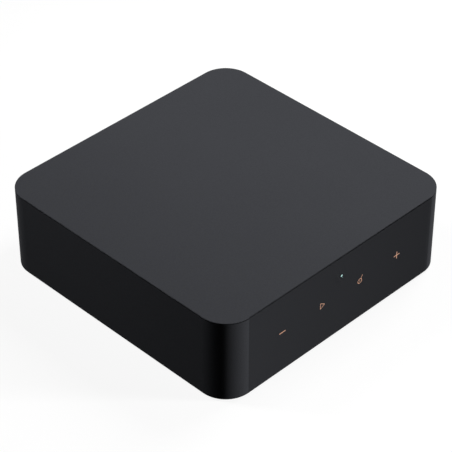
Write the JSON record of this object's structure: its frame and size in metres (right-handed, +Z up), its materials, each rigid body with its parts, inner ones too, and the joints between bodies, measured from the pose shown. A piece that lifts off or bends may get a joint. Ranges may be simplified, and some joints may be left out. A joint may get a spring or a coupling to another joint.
{
  "type": "network music streamer",
  "caption": "Low square box with round corners and touch marks on the front, a socket panel at the back and rubber feet, which plays streamed music into a hi-fi.",
  "frame": {"origin": "on the surface that the feet stand on, under the middle of the bounding box, which takes in the phono sleeves behind the case", "axes": "+Z up, +Y towards the socket panel at the back, +X to the right seen from the front"},
  "size_m": [0.14, 0.1476, 0.043],
  "materials": {
    "case_plastic": "fine satin texture",
    "base_plastic": "fine spark texture",
    "foot_rubber": "matte",
    "screw_steel": "black oxide",
    "bright_steel": "bright zinc",
    "mark_copper": "copper-toned inlay",
    "light_clear": "clear pin lit from behind",
    "led_lens": "milky",
    "board_laminate": "solder mask",
    "package_black": "moulded",
    "panel_plastic": "fine texture",
    "socket_black": "moulded",
    "socket_red": "moulded",
    "socket_white": "moulded",
    "socket_orange": "moulded",
    "nickel": "nickel plated",
    "gold_contact": "thin gold plating",
    "brass_spacer": "turned",
    "tin_shield": "tin plated",
    "spreader_aluminium": "brushed",
    "pad_grey": "soft",
    "shutter_grey": "moulded",
    "lens_clear": "clear red",
    "can_sleeve": "bare can",
    "audio_can_sleeve": "printed-free coloured can",
    "antenna_laminate": "solder mask",
    "lead_jacket": "thin jacket",
    "ribbon_film": "polyester film"
  },
  "bodies": {
    "case": {"housing": "case_plastic", "base_plate": "base_plastic", "foot_front_left": "foot_rubber", "foot_front_right": "foot_rubber", "foot_rear_left": "foot_rubber", "foot_rear_right": "foot_rubber", "case_screws": "screw_steel", "board_screws": "bright_steel", "panel_screws": "screw_steel", "spreader_screws": "bright_steel", "minus_mark": "mark_copper", "play_mark": "mark_copper", "note_mark": "mark_copper", "plus_mark": "mark_copper", "light_pipe": "light_clear", "status_led": "led_lens", "touch_board": "board_laminate", "touch_controller": "package_black", "rear_panel": "panel_plastic", "main_board": "board_laminate", "coax_block": "socket_black", "line_out_block": "socket_black", "line_in_block": "socket_black", "phono_sleeves": "nickel", "coax_insulator": "socket_orange", "left_insulators": "socket_white", "right_insulators": "socket_red", "phono_contacts": "gold_contact", "optical_in_housing": "socket_black", "optical_out_housing": "socket_black", "optical_lenses": "lens_clear", "ethernet_shell": "tin_shield", "ethernet_insert": "socket_black", "ethernet_contacts": "gold_contact", "power_socket_shell": "tin_shield", "power_socket_tongue": "socket_black", "trigger_jack": "socket_black", "reset_switch": "socket_black", "processor": "package_black", "thermal_pad": "pad_grey", "heat_spreader": "spreader_aluminium", "spreader_spacers": "brass_spacer", "memory_chips": "package_black", "audio_converters": "package_black", "network_chip": "package_black", "clock_crystal": "tin_shield", "power_capacitors": "can_sleeve", "audio_capacitors": "audio_can_sleeve", "power_inductors": "package_black", "wireless_module": "board_laminate", "wireless_shield": "tin_shield", "antenna_left": "antenna_laminate", "antenna_right": "antenna_laminate", "antenna_lead_left": "lead_jacket", "antenna_lead_right": "lead_jacket", "ribbon_sockets": "socket_black", "ribbon_cable": "ribbon_film"},
    "reset_button": {"reset_button": "shutter_grey"},
    "optical_in_shutter": {"optical_in_shutter": "shutter_grey"},
    "optical_out_shutter": {"optical_out_shutter": "shutter_grey"}
  },
  "joints": [
    {"name": "reset_button_press", "type": "slide", "parent": "case", "child": "reset_button", "axis": [0, -1, 0], "range_m": [0, 0.00025], "stiffness_N_per_m": 3000, "springref_m": -0.0003},
    {"name": "optical_in_shutter_swing", "type": "hinge", "parent": "case", "child": "optical_in_shutter", "pos_m": [0.00261, 0.0617, 0.01915], "axis": [-1, 0, 0], "range_deg": [0, 85], "stiffness_Nm_per_rad": 0.0002, "springref_deg": -28.65},
    {"name": "optical_out_shutter_swing", "type": "hinge", "parent": "case", "child": "optical_out_shutter", "pos_m": [-0.00971, 0.0617, 0.01915], "axis": [-1, 0, 0], "range_deg": [0, 85], "stiffness_Nm_per_rad": 0.0002, "springref_deg": -28.65}
  ]
}
